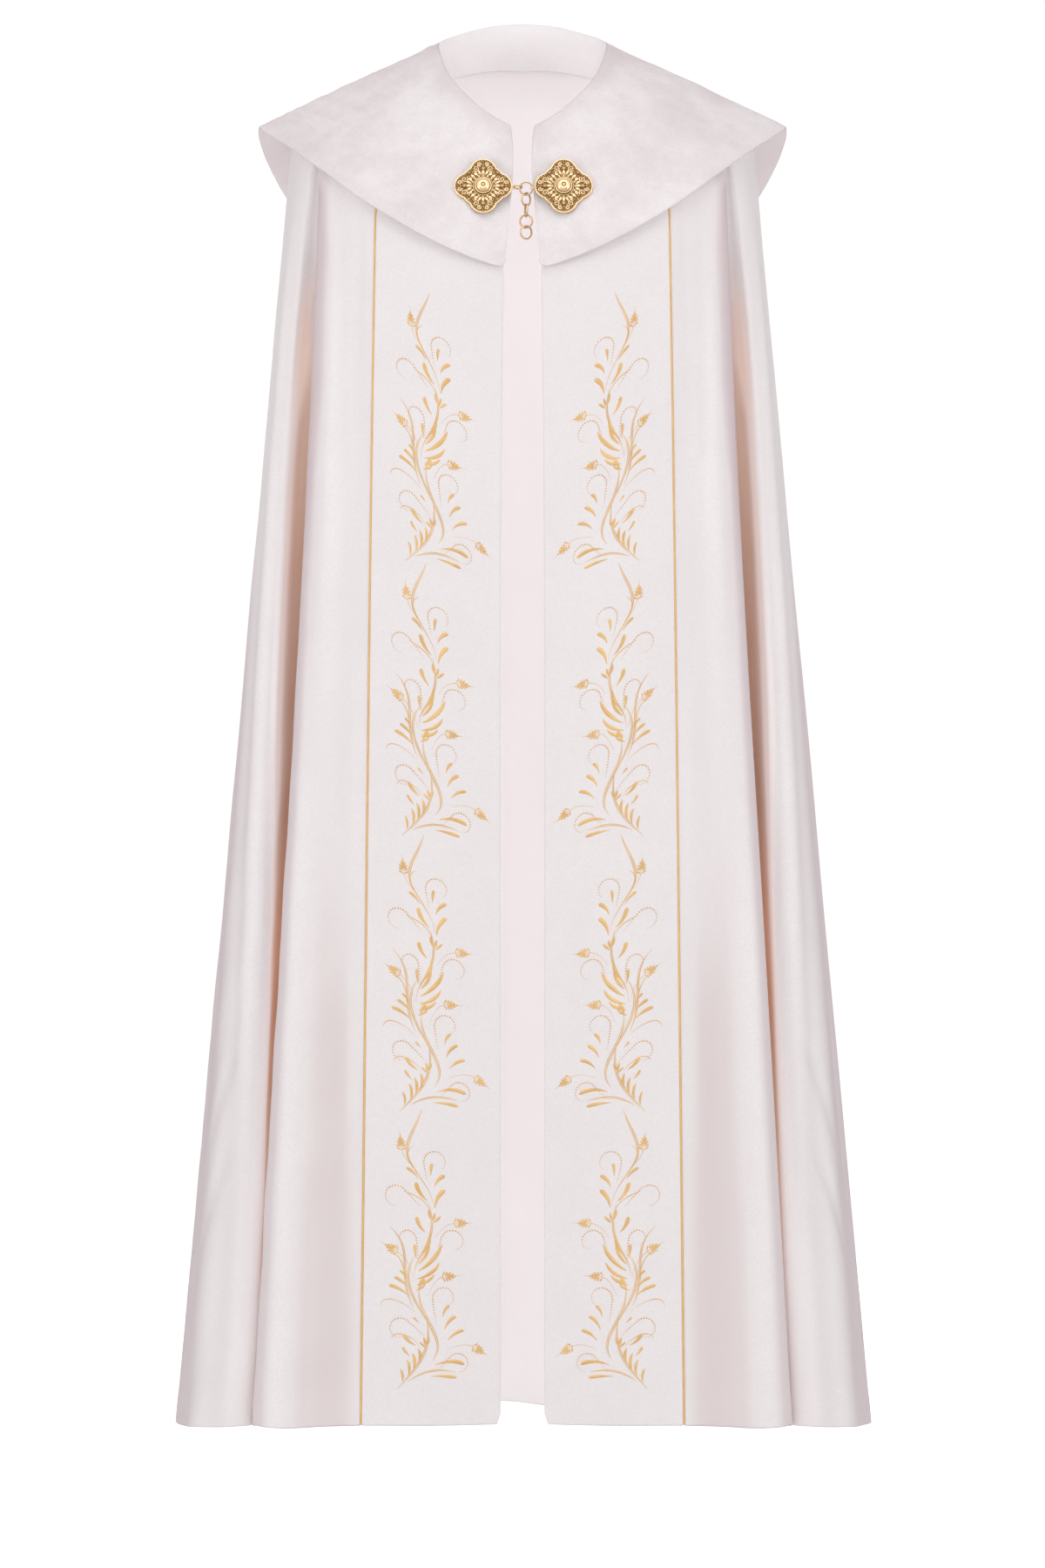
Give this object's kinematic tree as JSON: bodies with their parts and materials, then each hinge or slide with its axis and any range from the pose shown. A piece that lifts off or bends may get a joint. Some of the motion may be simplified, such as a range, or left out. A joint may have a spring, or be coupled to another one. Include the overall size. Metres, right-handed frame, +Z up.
{
  "type": "cope vestment",
  "caption": "Ceremonial cope in worn shape: open-fronted satin cloak with pointed cape collar, embroidered front bands, gold piping and filigree clasp.",
  "frame": {"origin": "middle of the neck base, on the centre line, level with where the wearer's shoulders hold the cloak", "axes": "+Z up; -Y towards the open front; +X to the viewer's right when the front is seen"},
  "size_m": [0.7366, 0.561, 1.489],
  "materials": {
    "mantle": "satin",
    "collar": "satin",
    "front_band_left": "satin",
    "front_band_right": "satin",
    "neck_facing": "satin",
    "piping_left": "metallic cord",
    "piping_right": "metallic cord",
    "clasp_plaque_left": "polished, gilt",
    "clasp_plaque_right": "polished, gilt",
    "clasp_boss_left": "polished, gilt",
    "clasp_boss_right": "polished, gilt",
    "clasp_link": "polished, gilt",
    "clasp_ring_1": "polished, gilt",
    "clasp_ring_2": "polished, gilt",
    "clasp_ring_3": "polished, gilt",
    "clasp_ring_4": "polished, gilt",
    "clasp_ring_5": "polished, gilt"
  },
  "bodies": {
    "root": {"mantle": "mantle", "collar": "collar", "front_band_left": "front_band_left", "front_band_right": "front_band_right", "neck_facing": "neck_facing", "piping_left": "piping_left", "piping_right": "piping_right", "clasp_plaque_left": "clasp_plaque_left", "clasp_plaque_right": "clasp_plaque_right", "clasp_boss_left": "clasp_boss_left", "clasp_boss_right": "clasp_boss_right", "clasp_link": "clasp_link", "clasp_ring_1": "clasp_ring_1"},
    "ring_2": {"clasp_ring_2": "clasp_ring_2"},
    "ring_3": {"clasp_ring_3": "clasp_ring_3"},
    "ring_4": {"clasp_ring_4": "clasp_ring_4"},
    "ring_5": {"clasp_ring_5": "clasp_ring_5"}
  },
  "joints": [
    {"name": "ring_2_swing", "type": "hinge", "parent": "root", "child": "ring_2", "pos_m": [0.0038, -0.13287, -0.13692], "axis": [1, 0, 0], "range_deg": [-20, 20]},
    {"name": "ring_3_swing", "type": "hinge", "parent": "ring_2", "child": "ring_3", "pos_m": [0.0038, -0.13287, -0.14832], "axis": [0.6428, 0.766, 0], "range_deg": [-6, 12]},
    {"name": "ring_4_swing", "type": "hinge", "parent": "ring_3", "child": "ring_4", "pos_m": [0.0038, -0.13287, -0.15972], "axis": [-0.1736, 0.9848, 0], "range_deg": [-5, 10]},
    {"name": "ring_5_swing", "type": "hinge", "parent": "ring_4", "child": "ring_5", "pos_m": [0.0038, -0.13287, -0.17112], "axis": [-0.9659, 0.2588, 0], "range_deg": [-15, 15]}
  ]
}
